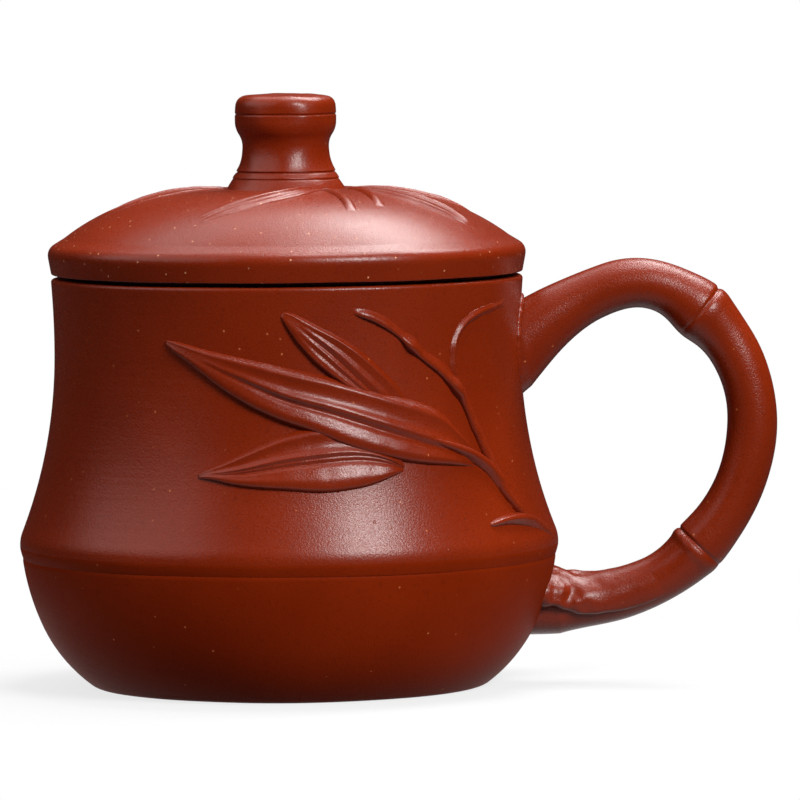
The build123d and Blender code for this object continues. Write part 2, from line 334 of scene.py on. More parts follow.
def hand_worked(bm: Mesh, work: HandWork, within: Pair | None = None) -> None:
    """Gives a mesh the slight unevenness of clay worked by hand.

    Args:
        bm: the mesh, in millimetres, with its faces outward.
        work: how uneven it gets.
        within: distances towards the handle where it is in full and where it has faded out.
    """
    bm.normal_update()
    start = Vector([work.seed * way for way in SEED_WAYS])
    for vert in bm.verts:
        share = 1.0
        if within is not None:
            share = min(max((within[1] - vert.co.x) / (within[1] - within[0]), 0), 1)
        vert.co += vert.normal * work.depth * share * noise.noise(vert.co / work.spread + start)


def as_object(name: str, bm: Mesh, *materials: bpy.types.Material) -> bpy.types.Object:
    """Makes a finished mesh an object of the scene.

    Args:
        name: the object's name.
        bm: its mesh in metres, used up here.
        materials: its materials in order.

    Returns:
        The new object, at the origin.
    """
    mesh = bpy.data.meshes.new(name)
    bm.to_mesh(mesh)
    bm.free()
    for material in materials:
        mesh.materials.append(material)
    obj = bpy.data.objects.new(name, mesh)
    bpy.context.scene.collection.objects.link(obj)
    return obj


@dataclass
class Wiring:
    """A shader's node tree, with short ways to add to it."""

    tree: bpy.types.NodeTree

    @classmethod
    def bare(cls, owner: bpy.types.Material | bpy.types.World) -> "Wiring":
        """Empties the tree of a new material or world.

        Args:
            owner: the material or world.

        Returns:
            Its bare tree.
        """
        owner.use_nodes = True
        owner.node_tree.nodes.clear()
        return cls(owner.node_tree)

    def feed(self, node: bpy.types.Node, feeds: dict[str | int, Feed]) -> None:
        """Fills a node's inputs.

        Args:
            node: the node.
            feeds: for each input, another node's output or a set value.
        """
        for inlet, given in feeds.items():
            if isinstance(given, Socket):
                self.tree.links.new(given, node.inputs[inlet])
            else:
                node.inputs[inlet].default_value = given

    def add(self, kind: str, feeds: dict[str | int, Feed], **settings: str) -> bpy.types.Node:
        """Adds a node.

        Args:
            kind: Blender's name of the node, without the words before its kind.
            feeds: what its inputs get.
            settings: the node's own settings.

        Returns:
            The node.
        """
        node = self.tree.nodes.new(f"ShaderNode{kind}")
        for setting, value in settings.items():
            setattr(node, setting, value)
        self.feed(node, feeds)
        return node

    def joined(self, first: Feed, second: Feed, kind: str = "ADD") -> Socket:
        """Two values added, or joined in another named way."""
        return self.add("Math", {0: first, 1: second}, operation=kind).outputs[0]

    def noise(self, place: Socket, size: float, detail: float) -> Socket:
        """A noise pattern whose features are about size millimetres wide."""
        feeds = {"Scale": 1 / (size * MM), "Detail": detail, "Vector": place}
        return self.add("TexNoise", feeds).outputs["Fac"]

    def span(self, value: Socket, given: Pair, wanted: Pair) -> Socket:
        """A value brought from one span to another and held there."""
        ends = dict(zip(("From Min", "From Max", "To Min", "To Max"), (*given, *wanted)))
        return self.add("MapRange", {"Value": value, **ends}).outputs["Result"]

    def mix(self, share: Socket, first: Socket | Colour, second: Colour) -> Socket:
        """Mixes two colours.

        Args:
            share: how much of the second there is.
            first, second: the colours.

        Returns:
            The mixed colour.
        """
        start = linear(*first) if isinstance(first, tuple) else first
        feeds = {"Factor": share, "A": start, "B": linear(*second)}
        return self.add("Mix", feeds, data_type="RGBA").outputs["Result"]

    def dots(self, place: Socket, size: float, radius: float, rarity: float) -> Socket:
        """Scattered round dots: 1 in a dot, 0 outside.

        Args:
            place: the coordinates.
            size: millimetres between places where a dot may be.
            radius: a dot's radius as a share of that.
            rarity: share of the places that stay empty.

        Returns:
            The pattern's value.
        """
        cells = self.add("TexVoronoi", {"Scale": 1 / (size * MM), "Vector": place})
        parts = self.add("SeparateColor", {"Color": cells.outputs["Color"]})
        dot = self.span(cells.outputs["Distance"], (radius * DOT_CORE, radius), (1, 0))
        chosen = self.span(parts.outputs["Red"], (rarity, rarity + DOT_CHOICE), (0, 1))
        return self.joined(dot, chosen, "MULTIPLY")

    def seen(self) -> Socket:
        """Tells rays that show a surface to the camera from those that light it.

        Returns:
            1 for a ray from the camera, a mirror or glass, else 0.
        """
        path = self.add("LightPath", {})
        total = path.outputs["Is Camera Ray"]
        for other in ("Is Glossy Ray", "Is Transmission Ray"):
            total = self.joined(total, path.outputs[other], "MAXIMUM")
        return total


class ClaySlot(Enum):
    """The record's clay slots."""

    BODY = "body_clay"
    HANDLE = "handle_clay"
    SPRIG = "sprig_clay"
    LID = "lid_clay"


@dataclass(frozen=True)
class ClayFinish:
    """Unglazed red clay, burnished to a satin."""

    name: str
    deep: Colour = (109, 28, 2)
    warm: Colour = (117, 32, 4)
    speck: Colour = (190, 110, 66)
    pit: Colour = (80, 18, 2)
    roughness: float = 0.3
    roughness_spread: Pair = (-0.06, 0.08)
    gloss: float = 0.27
    mottle_size: float = 22.0
    mottle_span: Pair = (0.36, 0.64)
    fine_size: float = 0.8
    fine_span: Pair = (0.56, 0.74)
    fine_share: float = 0.3
    grain: float = 0.28
    grain_size: float = 0.3
    grain_span: Pair = (0.3, 0.7)
    tool_marks: float = 0.24
    mark_size: float = 1.1
    mark_stretch: tuple[float, float, float] = (0.04, 0.04, 1.0)
    scraped: Pair = (-6.0, -30.0)
    unscraped_share: float = 0.2
    pit_spacing: float = 1.25
    pit_radius: float = 0.1
    pit_rarity: float = 0.85
    pit_share: float = 0.4
    pit_depth: float = 0.25
    speck_size: float = 2.4
    speck_rarity: float = 0.7
    speck_radius: float = 0.1
    speck_share: float = 0.75
    bump_strength: float = 0.6
    bump_height: float = 0.25

    def material(self) -> bpy.types.Material:
        """Builds the finish's material.

        Returns:
            The material, its pattern laid by Object coordinates.
        """
        made = bpy.data.materials.new(self.name)
        made.use_nodes = True
        shader = made.node_tree.nodes["Principled BSDF"]
        wiring = Wiring(made.node_tree)
        place = wiring.add("TexCoord", {}).outputs["Object"]
        mottle = wiring.noise(place, self.mottle_size, 6)
        colour = wiring.mix(wiring.span(mottle, self.mottle_span, FULL), self.deep, self.warm)
        fine = wiring.noise(place, self.fine_size, 3)
        colour = wiring.mix(wiring.span(fine, self.fine_span, (0, self.fine_share)), colour, self.pit)
        pits = wiring.dots(place, self.speck_size * self.pit_spacing, self.pit_radius, self.pit_rarity)
        colour = wiring.mix(wiring.span(pits, FULL, (0, self.pit_share)), colour, self.pit)
        specks = wiring.dots(place, self.speck_size, self.speck_radius, self.speck_rarity)
        colour = wiring.mix(wiring.span(specks, FULL, (0, self.speck_share)), colour, self.speck)

        grain = wiring.noise(place, self.grain_size, 2)
        low, high = (self.roughness + more for more in self.roughness_spread)
        stretched = wiring.add("Mapping", {"Scale": self.mark_stretch, "Vector": place}).outputs["Vector"]
        marks = wiring.noise(stretched, self.mark_size, 4)
        sides = wiring.add("SeparateXYZ", {"Vector": place})
        edges = (self.scraped[0] * MM, self.scraped[1] * MM)
        depths = (self.tool_marks * self.unscraped_share, self.tool_marks)
        marks = wiring.joined(marks, wiring.span(sides.outputs["X"], edges, depths), "MULTIPLY")
        height = wiring.joined(wiring.span(grain, FULL, (0, self.grain)), marks)
        height = wiring.joined(height, wiring.span(pits, FULL, (0, -self.pit_depth)))
        feeds = {"Strength": self.bump_strength, "Distance": self.bump_height * MM, "Height": height}
        bump = wiring.add("Bump", feeds)
        wiring.feed(
            shader,
            {
                "Base Color": colour,
                "Roughness": wiring.span(grain, self.grain_span, (low, high)),
                "Specular IOR Level": self.gloss,
                "Normal": bump.outputs["Normal"],
            },
        )
        return made


@dataclass
class Dresser:
    """Makes finished pieces out of meshes and gives them their clay."""

    finishes: dict[ClaySlot, ClayFinish]
    made: dict[str, bpy.types.Material] = field(default_factory=dict)

    def piece(
        self,
        name: str,
        bm: Mesh,
        slot: ClaySlot,
        body: str,
        *nodes: str,
        finish: ClayFinish | None = None,
        under: tuple[float, ClayFinish] | None = None,
    ) -> None:
        """Makes one piece and sets it on its body.

        Args:
            name: the piece's name.
            bm: its mesh in millimetres, used up here.
            slot: the record's slot that its clay comes from.
            body: the CAD body it rides on.
            nodes: the CAD nodes it stands for.
            finish: the clay's finish where it isn't the slot's usual one.
            under: a height, and the finish of the faces below it.
        """
        finishes = [finish or self.finishes[slot]] + ([under[1]] if under else [])
        for used in finishes:
            if used.name not in self.made:
                self.made[used.name] = used.material()
        bmesh.ops.recalc_face_normals(bm, faces=bm.faces)
        for face in bm.faces:
            face.smooth = True
            face.material_index = int(bool(under) and face.calc_center_median().z < under[0])
        bmesh.ops.scale(bm, vec=(MM, MM, MM), verts=bm.verts)
        obj = as_object(name, bm, *[self.made[used.name] for used in finishes])
        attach(obj, body)
        if nodes:
            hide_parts(*nodes)
        log.info("%s: %d faces, on %s", name, len(obj.data.polygons), body)


class Skin(Protocol):
    """A surface that relief can be laid on."""

    def spot(self, across: float, up: float, lift: float) -> Vector:
        """The point over a place, lifted off the surface along its normal."""

    def measure(self, across: float, up: float) -> Pair:
        """Millimetres of surface for one unit of each coordinate."""


class Section(Enum):
    """Cross sections of relief: (share from lower edge -1 to upper edge 1, share of the rise)."""

    TWIG = (
        (-1, -0.05), (-0.8, 0.3), (-0.45, 0.82), (0, 1), (0.45, 0.82), (0.8, 0.3), (1, -0.05),
    )
    LEANING_TWIG = (
        (-1, -0.1), (-0.88, 0.4), (-0.55, 0.9), (-0.15, 1), (0.25, 0.78), (0.65, 0.3), (1, -0.02),
    )
    ARCH = (
        (-1, -0.05), (-0.5, 0.48), (-0.12, 0.93), (0.12, 1), (0.45, 0.74), (1, -0.05),
    )
    PLAIN_LEAF = (
        (-1, -0.1), (-0.94, 0.4), (-0.8, 0.8), (-0.5, 1), (-0.2, 0.96), (0.2, 0.86), (0.5, 0.82),
        (0.7, 0.76), (0.85, 0.44), (1, -0.08),
    )
    BROAD_LEAF = (
        (-1, -0.1), (-0.95, 0.4), (-0.84, 0.82), (-0.66, 1.0), (-0.42, 0.92), (-0.24, 0.76),
        (-0.1, 0.56), (0, 0.76), (0.08, 0.98), (0.16, 0.98), (0.28, 0.76), (0.46, 0.66), (0.62, 0.74),
        (0.76, 0.78), (0.88, 0.42), (1, -0.08),
    )
    RIBBED_LEAF = (
        (-1, -0.1), (-0.95, 0.4), (-0.84, 0.82), (-0.66, 1.0), (-0.42, 0.9), (-0.22, 0.72),
        (-0.13, 0.54), (-0.08, 0.58), (-0.02, 0.74), (0.03, 0.68), (0.07, 0.8), (0.12, 0.98),
        (0.18, 0.94), (0.3, 0.7), (0.48, 0.6), (0.64, 0.72), (0.76, 0.78), (0.88, 0.42), (1, -0.08),
    )
    FOLDED_LEAF = (
        (-1, -0.1), (-0.92, 0.5), (-0.75, 0.78), (-0.58, 0.76), (-0.44, 0.64), (-0.3, 0.76),
        (-0.18, 0.8), (-0.04, 0.6), (0.08, 0.68), (0.2, 0.88), (0.32, 0.84), (0.44, 0.7), (0.56, 0.76),
        (0.68, 0.84), (0.78, 0.84), (0.89, 0.44), (1, -0.08),
    )
    LID_LEAF = (
        (-1, -0.05), (-0.8, 0.35), (-0.56, 0.54), (-0.43, 0.84), (-0.3, 0.5), (-0.1, 0.42), (0.1, 0.52),
        (0.22, 1), (0.34, 0.56), (0.55, 0.5), (0.75, 0.54), (0.9, 0.28), (1, -0.05),
    )
    VEINED_LEAF = (
        (-1, -0.05), (-0.86, 0.3), (-0.68, 0.8), (-0.55, 0.5), (-0.4, 0.5), (-0.26, 1.0), (-0.12, 0.5),
        (0.04, 0.54), (0.18, 1.0), (0.32, 0.52), (0.48, 0.56), (0.62, 0.9), (0.76, 0.5), (0.9, 0.2),
        (1, -0.05),
    )
    SHEATH = (
        (-1, -0.2), (-0.95, 0.6), (-0.86, 1), (-0.5, 0.9), (0, 0.7), (0.5, 0.9), (0.86, 1), (0.95, 0.6),
        (1, -0.2),
    )


@dataclass(frozen=True)
class Relief:
    """A leaf, twig or sheath laid on a surface and pressed into it.

    A station of its rib is a place across and up, the breadths above and below, and the rise.
    """

    section: Section
    rows: int
    columns: int
    stations: tuple[tuple[float, float, float, float, float], ...]
    bury: float = 0.5
    tip: Section | None = None
    tip_run: Pair = (0.1, 0.4)

    def _heights(self, section: Section) -> list[float]:
        """A section's share of the rise at each column."""
        shape = SmoothRun([p[0] for p in section.value], [(p[1],) for p in section.value])
        return [float(shape.at(-1 + 2 * j / self.columns)[0]) for j in range(self.columns + 1)]

    def mesh(self, skin: Skin) -> Mesh:
        """Lays the relief.

        Args:
            skin: the surface it lies on.

        Returns:
            The closed mesh, in millimetres.
        """
        plan = []
        for across, up, *_ in self.stations:
            wide, high = skin.measure(across, up)
            plan.append((across * wide, up * high))
        rib = SmoothRun(chords(plan), self.stations)
        full, plain = self._heights(self.section), self._heights(self.tip or self.section)
        start, end = self.tip_run
        ribs = [rib.at(rib.length * i / self.rows) for i in range(self.rows + 1)]
        bm = bmesh.new()
        for top in (True, False):
            made = bmesh.ops.create_grid(bm, x_segments=self.rows, y_segments=self.columns, size=0.5)
            for vert in made["verts"]:
                i = round((vert.co.x + 0.5) * self.rows)
                j = round((vert.co.y + 0.5) * self.columns)
                border = i in (0, self.rows) or j in (0, self.columns)
                across, up, above, below, rise = ribs[i]
                wide, high = skin.measure(across, up)
                ahead, behind = ribs[min(i + 1, self.rows)], ribs[max(i - 1, 0)]
                way = Vector(((ahead[0] - behind[0]) * wide, (ahead[1] - behind[1]) * high)).normalized()
                share = -1 + 2 * j / self.columns
                offset = share * max(above if share > 0 else below, 0)
                formed = min(max((i / self.rows - start) / (end - start), 0), 1)
                height = plain[j] + (full[j] - plain[j]) * formed
                lift = -self.bury
                if top and not border:
                    lift = rise * height if rise > 0 else max(rise, -self.bury)
                vert.co = skin.spot(across - way.y * offset / wide, up + way.x * offset / high, lift)
        bmesh.ops.remove_doubles(bm, verts=bm.verts, dist=WELD)
        bmesh.ops.dissolve_degenerate(bm, edges=bm.edges, dist=WELD)
        bmesh.ops.recalc_face_normals(bm, faces=bm.faces)
        return bm


WALL_PARTS: dict[str, Relief] = {
    "twig_main": Relief(
        Section.LEANING_TWIG, 260, 28,
        (
            (16.0, 66.0, 0.4, 0.4, -0.2), (18.8, 65.5, 0.9, 0.7, 0.5), (22.0, 64.7, 1.1, 0.8, 0.65),
            (26.0, 63.1, 1.1, 0.7, 0.55), (29.7, 61.2, 1.2, 0.7, 0.7), (31.8, 59.9, 1.6, 1.0, 1.2),
            (33.6, 58.8, 1.3, 0.8, 0.75), (38.1, 56.6, 1.5, 0.8, 0.75), (42.8, 54.1, 1.8, 0.9, 0.85),
            (45.4, 52.4, 2.0, 1.2, 1.4), (47.4, 50.6, 1.6, 0.9, 0.95), (50.2, 46.7, 1.6, 0.9, 0.8),
            (53.3, 42.3, 1.7, 1.0, 0.8), (55.4, 39.1, 1.8, 1.2, 0.95), (58.2, 34.9, 1.8, 1.2, 1.05),
            (61.6, 31.9, 1.7, 1.1, 1.0), (64.6, 29.9, 1.5, 1.0, 0.8), (68.5, 28.1, 1.0, 0.8, -0.2),
        ),
    ),
    "twig_arch": Relief(
        Section.ARCH, 180, 24,
        (
            (72.0, 66.4, 0.7, 0.6, -0.3), (66.0, 66.0, 0.7, 0.65, 0.05), (60.2, 65.5, 0.8, 0.7, 0.22),
            (54.3, 64.8, 0.9, 0.75, 0.38), (49.6, 63.6, 0.9, 0.8, 0.45), (46.5, 61.6, 0.9, 0.8, 0.46),
            (45.1, 59.5, 0.9, 0.8, 0.46), (44.8, 56.6, 0.9, 0.8, 0.45), (45.5, 53.5, 0.9, 0.8, 0.45),
        ),
    ),
    "leaf_long": Relief(
        Section.BROAD_LEAF, 240, 84,
        (
            (-29.8, 60.9, 0.3, 0.3, 0.1), (-28.0, 60.4, 0.7, 0.7, 0.45), (-22.0, 58.6, 1.6, 1.6, 0.9),
            (-14.0, 56.0, 3.0, 2.9, 1.15), (-7.2, 53.9, 4.1, 3.7, 1.3), (0.3, 51.6, 5.2, 4.0, 1.35),
            (8.4, 49.9, 5.6, 4.4, 1.45), (16.0, 48.2, 5.8, 5.0, 1.5), (23.8, 46.3, 6.1, 4.9, 1.5),
            (32.6, 44.2, 6.4, 4.2, 1.35), (40.0, 42.5, 5.4, 3.0, 1.1), (45.5, 41.4, 3.0, 2.2, 0.6),
            (50.5, 40.4, 1.6, 1.4, -0.2),
        ),
        tip=Section.PLAIN_LEAF,
        tip_run=(0.12, 0.36),
    ),
    "leaf_low": Relief(
        Section.RIBBED_LEAF, 180, 84,
        (
            (-20.2, 38.6, 0.3, 0.3, 0.1), (-18.6, 38.8, 0.8, 0.6, 0.5), (-15.5, 39.0, 1.6, 1.2, 0.8),
            (-11.0, 39.3, 2.7, 2.3, 0.95), (-0.9, 40.6, 4.8, 4.4, 1.15), (8.1, 41.4, 5.8, 5.6, 1.2),
            (17.3, 41.7, 4.8, 5.3, 1.15), (22.6, 41.1, 3.0, 4.1, 1.05), (26.2, 40.2, 1.6, 2.2, 0.8),
            (28.3, 39.5, 0.4, 0.5, 0.2),
        ),
        tip=Section.PLAIN_LEAF,
        tip_run=(0.06, 0.22),
    ),
    "leaf_upper": Relief(
        Section.FOLDED_LEAF, 150, 84,
        (
            (-0.6, 65.6, 0.4, 0.4, 0.1), (0.8, 65.0, 1.0, 1.0, 0.5), (3.3, 63.6, 1.7, 1.8, 0.85),
            (6.3, 61.8, 2.3, 2.5, 1.05), (11.0, 59.0, 3.3, 3.0, 1.2), (15.1, 56.2, 4.1, 2.6, 1.2),
            (19.3, 53.4, 4.3, 2.0, 1.0), (23.4, 50.8, 4.2, 1.4, 0.6), (28.4, 47.8, 3.2, 1.0, -0.1),
        ),
        tip=Section.PLAIN_LEAF,
        tip_run=(0.12, 0.34),
    ),
    "leaf_bud": Relief(
        Section.TWIG, 100, 24,
        (
            (49.6, 29.3, 0.3, 0.3, 0.2), (52.0, 29.5, 0.7, 0.6, 0.7), (55.5, 29.8, 0.95, 0.9, 1.05),
            (60.0, 29.9, 1.1, 1.2, 1.25), (64.6, 29.5, 1.1, 1.3, 1.15), (70.0, 28.5, 1.2, 1.1, 0.6),
            (76.0, 27.0, 1.2, 0.9, 0.25), (81.0, 25.9, 1.0, 0.8, -0.2),
        ),
    ),
    "leaf_stalk": Relief(
        Section.TWIG, 120, 24,
        (
            (29.0, 46.0, 0.5, 0.5, 0.4), (34.0, 44.6, 0.8, 0.8, 1.15), (40.0, 43.1, 1.0, 1.0, 1.4),
            (46.0, 41.7, 1.2, 1.2, 1.35), (51.0, 40.1, 1.3, 1.3, 1.25), (55.5, 37.6, 1.4, 1.3, 1.2),
            (58.5, 34.6, 1.4, 1.2, 0.9), (61.0, 32.0, 1.2, 1.0, 0.2),
        ),
    ),
}

LID_PARTS: dict[str, Relief] = {
    "lid_leaf_front": Relief(
        Section.LID_LEAF, 120, 40,
        (
            (-17.0, -29.5, 0.8, 0.6, -0.3), (-12.0, -27.4, 2.0, 1.6, 0.25),
            (-5.5, -24.0, 3.0, 2.3, 0.7), (1.0, -18.4, 3.0, 2.5, 0.85), (5.4, -10.0, 1.6, 1.5, 0.6),
        ),
    ),
    "lid_leaf_right": Relief(
        Section.VEINED_LEAF, 120, 64,
        (
            (11.0, -6.5, 1.2, 1.2, 0.4), (16.5, -9.4, 3.2, 2.8, 0.65), (23.0, -12.0, 3.6, 3.2, 0.75),
            (28.5, -13.8, 2.6, 2.2, 0.45), (33.0, -14.8, 1.0, 0.9, -0.3),
        ),
    ),
    "lid_leaf_side": Relief(
        Section.LID_LEAF, 110, 40,
        (
            (10.8, 0.4, 1.2, 1.2, 0.2), (16.5, 0.7, 3.0, 3.0, 0.45), (23.0, 1.0, 3.0, 3.0, 0.5),
            (30.0, 1.6, 1.4, 1.4, 0.25), (33.0, 1.9, 0.8, 0.8, -0.3),
        ),
    ),
    "lid_leaf_left": Relief(
        Section.LID_LEAF, 120, 40,
        (
            (-34.0, -5.0, 0.8, 0.8, -0.3), (-29.5, -5.4, 2.2, 2.4, 0.2), (-24.0, -4.6, 3.6, 3.8, 0.5),
            (-18.0, -2.4, 3.6, 3.6, 0.6), (-10.8, 1.2, 1.3, 1.3, 0.4),
        ),
    ),
    "lid_twig_front": Relief(
        Section.TWIG, 90, 28,
        (
            (6.6, -10.0, 0.8, 0.8, 0.3), (8.0, -15.0, 0.95, 0.9, 0.5), (9.8, -20.0, 1.05, 1.0, 0.6),
            (10.9, -24.0, 1.1, 1.0, 0.45), (11.5, -27.2, 0.9, 0.8, -0.2),
        ),
    ),
    "lid_twig_right": Relief(
        Section.TWIG, 80, 28,
        (
            (11.6, -8.0, 0.8, 0.8, 0.3), (13.6, -13.0, 0.95, 0.9, 0.5), (15.3, -18.0, 1.0, 0.95, 0.55),
            (16.3, -22.6, 0.8, 0.8, -0.2),
        ),
    ),
}


@dataclass
class CupBody:
    """The turned wall, the bowl under it and the floor slab."""

    waist_radius: float = 39.95
    waist_height: float = 57.0
    rim_flare: float = 0.5
    rim_ease: float = 0.7
    ridge_extra: float = 0.3
    ridge_ease: float = 1.5
    wall_thickness: float = 3.55
    band_height: float = 3.3
    band_matt: float = 0.9
    crease_step: float = 0.56
    crease_depth: float = 0.11
    crease_lift: float = 0.2
    crease_ease: float = 0.12
    crease_rise: float = 0.1
    crease_fall: float = 0.05
    lip_rise: float = 0.3
    lip_gap: float = 0.02
    brow_drop: float = 0.4
    brow_gap: float = 0.03
    brow_ease: float = 0.3
    bowl_lean: float = 8.0
    shoulder_inset: float = 3.75
    shoulder_drop: float = 11.2
    base_inset: float = 12.6
    base_ease: float = 0.8
    foot_width: float = 6.0
    foot_depth: float = 1.5
    foot_ease: float = 0.5
    foot_inner_ease: float = 0.4
    floor_thickness: float = 3.5
    slab_ledge: float = 2.0
    bowl_ledge: float = 2.1
    lap: float = 3.0
    lap_depth: float = 1.6
    lute_gap: float = 0.1
    wall_work: HandWork = HandWork(0.10, 17, 3.1)
    bowl_work: HandWork = HandWork(0.10, 19, 5.7)
    slab_work: HandWork = HandWork(0.08, 12, 8.2)
    bowl_finish: ClayFinish = ClayFinish("matt_bowl_clay", roughness=0.5, gloss=0.03, tool_marks=0.08)

    def __post_init__(self) -> None:
        """Takes the main sizes from the frame."""
        low, high = node_box("cup_wall")
        self.rim_height = high.z
        self.bowl_height = low.z
        self.ridge_radius = high.x + self.ridge_extra
        self.ridge_height = self.bowl_height + self.band_height
        self.crease_height = self.bowl_height + self.crease_lift
        self.crease_radius = self.ridge_radius - self.crease_step
        self.rim_radius = self.waist_radius + self.rim_flare
        self.mouth_radius = self.waist_radius - self.wall_thickness
        self.ridge_inner = self.ridge_radius - self.wall_thickness
        self.lap_radius = self.ridge_radius - self.lap_depth
        self.lap_top = self.bowl_height + self.lap
        self.base_radius = self.ridge_radius - self.base_inset
        self.floor_top = self.foot_depth + self.floor_thickness
        self.foot_inner = self.base_radius - self.foot_width

    def _bend(self, height: float) -> Pair:
        """Finds the arc of the wall's outline.

        Args:
            height: where on the wall.

        Returns:
            The arc's radius there, and the height over the waist.
        """
        if height > self.waist_height:
            run, rise = self.rim_flare, self.rim_height - self.waist_height
        else:
            run, rise = self.ridge_radius - self.waist_radius, self.waist_height - self.ridge_height
        return (run * run + rise * rise) / (2 * run), height - self.waist_height

    def spot(self, across: float, up: float, lift: float) -> Vector:
        """The point over a place on the wall.

        Args:
            across: degrees round from the front towards the handle.
            up: height.
            lift: distance out from the wall.

        Returns:
            The point, in millimetres.
        """
        arc, over = self._bend(up)
        fall = math.sqrt(arc * arc - over * over)
        slope = over / fall
        size = math.hypot(1, slope)
        radius = self.waist_radius + arc - fall + lift / size
        turn = math.radians(across)
        return Vector((radius * math.sin(turn), -radius * math.cos(turn), up - lift * slope / size))

    def measure(self, across: float, up: float) -> Pair:
        """Measures the wall.

        Args:
            across, up: degrees round and height.

        Returns:
            Millimetres of wall for a degree round and for a millimetre of height.
        """
        arc, over = self._bend(up)
        radius = self.waist_radius + arc - math.sqrt(arc * arc - over * over)
        return math.radians(radius), arc / math.sqrt(arc * arc - over * over)

    def wall(self) -> TurnedOutline:
        """Draws the wall.

        Returns:
            Its half outline, from the rim down its outside and up its inside.
        """
        wall = TurnedOutline(self.mouth_radius, self.rim_height)
        wall.line(self.rim_radius, self.rim_height, ease=self.rim_ease)
        wall.arc(self.waist_radius, self.waist_height, arriving=DOWN)
        wall.arc(self.ridge_radius, self.ridge_height, leaving=DOWN, ease=self.ridge_ease, steps=60)
        crease_top = self.crease_height + self.crease_rise
        wall.arc(self.crease_radius, crease_top, leaving=DOWN, ease=self.crease_ease, steps=14)
        wall.line(self.crease_radius - self.crease_depth, self.crease_height - self.crease_fall, steps=2)
        wall.line(self.lap_radius, self.bowl_height, steps=2)
        wall.line(self.lap_radius, self.lap_top, steps=2)
        wall.line(self.ridge_inner, self.lap_top, steps=2)
        wall.arc(self.mouth_radius, self.waist_height, arriving=UP, steps=40)
        return wall.line(self.mouth_radius, self.rim_height, ease=self.rim_ease)

    def bowl(self) -> TurnedOutline:
        """Draws the bowl.

        Returns:
            Its half outline, from the lap in the wall round the foot ring and up its inside.
        """
        lean = math.radians(self.bowl_lean)
        lip_height = self.crease_height + self.lip_rise
        brow_height = self.crease_height - self.brow_drop
        bowl = TurnedOutline(self.ridge_inner, self.lap_top)
        bowl.line(self.lap_radius - self.lute_gap, self.lap_top, steps=2)
        bowl.line(self.lap_radius - self.lute_gap, lip_height, steps=2)
        bowl.line(self.crease_radius - self.crease_depth - self.lip_gap, lip_height, steps=2)
        bowl.line(self.crease_radius - self.brow_gap, brow_height, ease=self.brow_ease, steps=3)
        bowl.arc(
            self.ridge_radius - self.shoulder_inset,
            self.bowl_height - self.shoulder_drop,
            leaving=(-math.sin(lean), -math.cos(lean)),
        )
        bowl.arc(self.base_radius, 0, ease=self.base_ease)
        bowl.line(self.foot_inner, 0, ease=self.foot_ease)
        bowl.line(self.foot_inner, self.foot_depth, ease=self.foot_inner_ease)
        bowl.line(self.foot_inner + self.bowl_ledge, self.foot_depth, steps=2)
        bowl.line(self.foot_inner + self.bowl_ledge, self.floor_top, steps=2)
        bowl.line(self.base_radius, self.floor_top, steps=2)
        return bowl.arc(self.ridge_inner, self.lap_top, arriving=UP, steps=36)

    def slab(self) -> TurnedOutline:
        """Draws the floor slab.

        Returns:
            Its half outline, from the axis at its top to the axis at its foot.
        """
        edge = self.foot_inner + self.slab_ledge
        slab = TurnedOutline(0, self.floor_top).line(edge, self.floor_top, steps=24)
        return slab.line(edge, self.foot_depth, steps=3).line(0, self.foot_depth, steps=24)

    def build(self, dresser: Dresser) -> None:
        """Turns the three pieces of the body.

        Args:
            dresser: makes the pieces.
        """
        bm = turned(self.wall(), True)
        hand_worked(bm, self.wall_work)
        matt = (self.ridge_height - self.band_matt, self.bowl_finish)
        dresser.piece("wall_turned", bm, ClaySlot.BODY, "cup", "cup_wall", under=matt)
        bm = turned(self.bowl(), True)
        hand_worked(bm, self.bowl_work)
        dresser.piece("bowl_turned", bm, ClaySlot.BODY, "cup", "cup_bowl", finish=self.bowl_finish)
        bm = turned(self.slab(), False)
        hand_worked(bm, self.slab_work)
        dresser.piece("floor_slab", bm, ClaySlot.BODY, "cup", "cup_floor", finish=self.bowl_finish)


@dataclass(frozen=True)
class CaneJoint:
    """A joint of the cane: where it is, its swellings, and the groove that is deepest on one side."""

    along: float
    swell: float
    inside: float
    groove: float
    facing: float
    falling: float
    collar: float


